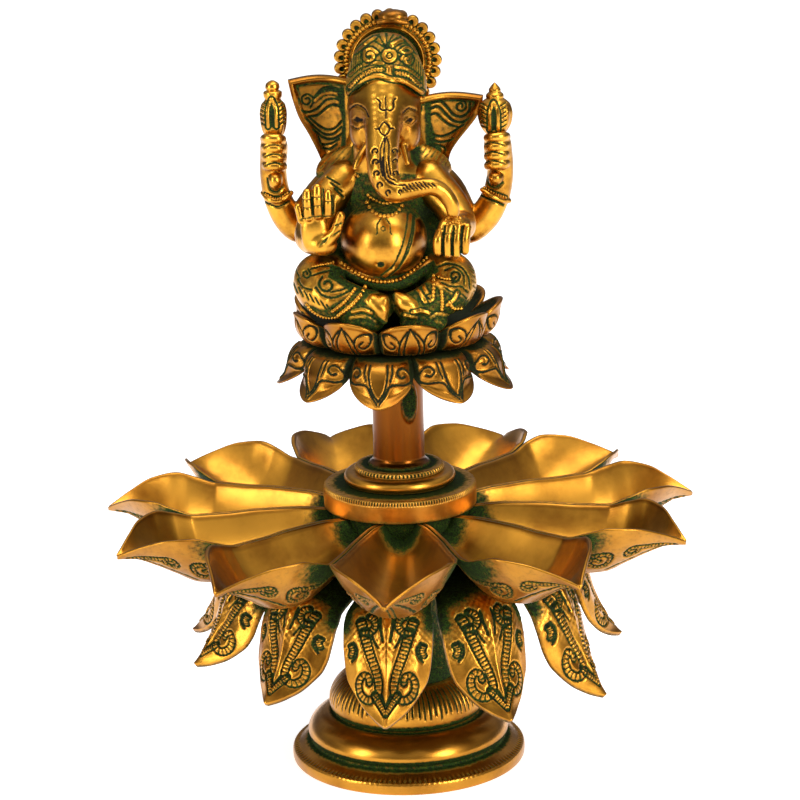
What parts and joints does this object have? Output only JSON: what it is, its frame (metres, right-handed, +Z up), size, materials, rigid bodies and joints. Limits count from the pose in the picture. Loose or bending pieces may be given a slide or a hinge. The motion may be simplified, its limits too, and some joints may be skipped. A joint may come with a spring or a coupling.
{
  "type": "aarti lamp",
  "caption": "Tabletop brass oil lamp: an open flower of pointed oil bowls over drooping engraved leaves on a turned foot, with a seated deity on a lotus above.",
  "frame": {"origin": "centre of the foot's underside, on the surface it stands on", "axes": "+Z up along the lamp's axis; the figure faces -Y; +X is to the right of someone facing the figure"},
  "size_m": [0.233, 0.2314, 0.2968],
  "materials": {
    "turned_brass": "turned and buffed, darkened in the grooves",
    "polished_brass": "polished bowl with brown tarnish at the rim",
    "engraved_brass": "chased, with green-black patina in the cuts",
    "figure_brass": "cast and chased, with green patina in the hollows",
    "rough_brass": "as cast, dark green patina",
    "steel": "zinc-plated threaded steel"
  },
  "bodies": {
    "stand": {"foot": "turned_brass", "fluted_knop": "turned_brass", "neck": "turned_brass", "leaf_hub": "rough_brass", "leaf_01": "engraved_brass", "leaf_02": "engraved_brass", "leaf_03": "engraved_brass", "leaf_04": "engraved_brass", "leaf_05": "engraved_brass", "leaf_06": "engraved_brass", "leaf_07": "engraved_brass", "leaf_08": "engraved_brass", "leaf_09": "engraved_brass", "leaf_10": "engraved_brass", "leaf_11": "engraved_brass", "lamp_hub": "rough_brass", "oil_petal_01": "polished_brass", "oil_petal_02": "polished_brass", "oil_petal_03": "polished_brass", "oil_petal_04": "polished_brass", "oil_petal_05": "polished_brass", "oil_petal_06": "polished_brass", "oil_petal_07": "polished_brass", "oil_petal_08": "polished_brass", "oil_petal_09": "polished_brass", "oil_petal_10": "polished_brass", "oil_petal_11": "polished_brass", "collar_base": "turned_brass", "collar_ring": "turned_brass", "collar_cap": "turned_brass", "washer": "steel"},
    "figure_section": {"column": "turned_brass", "tie_rod": "steel", "lotus_lower_tier": "engraved_brass", "lotus_upper_tier": "engraved_brass", "figure_body": "figure_brass", "figure_head": "figure_brass", "halo_arch": "figure_brass"},
    "tie_nut": {"tie_nut": "steel"}
  },
  "joints": [
    {"name": "figure_lift", "type": "slide", "parent": "stand", "child": "figure_section", "axis": [0, 0, 1], "range_m": [0, 0.01]},
    {"name": "nut_turn", "type": "hinge", "parent": "stand", "child": "tie_nut", "pos_m": [0, 0, 0.011], "axis": [0, 0, 1], "range_deg": [-2880, 0]}
  ],
  "couplings": [
    {"joint": "nut_turn", "follows": "figure_lift", "rad_per_m": -5026.5}
  ]
}
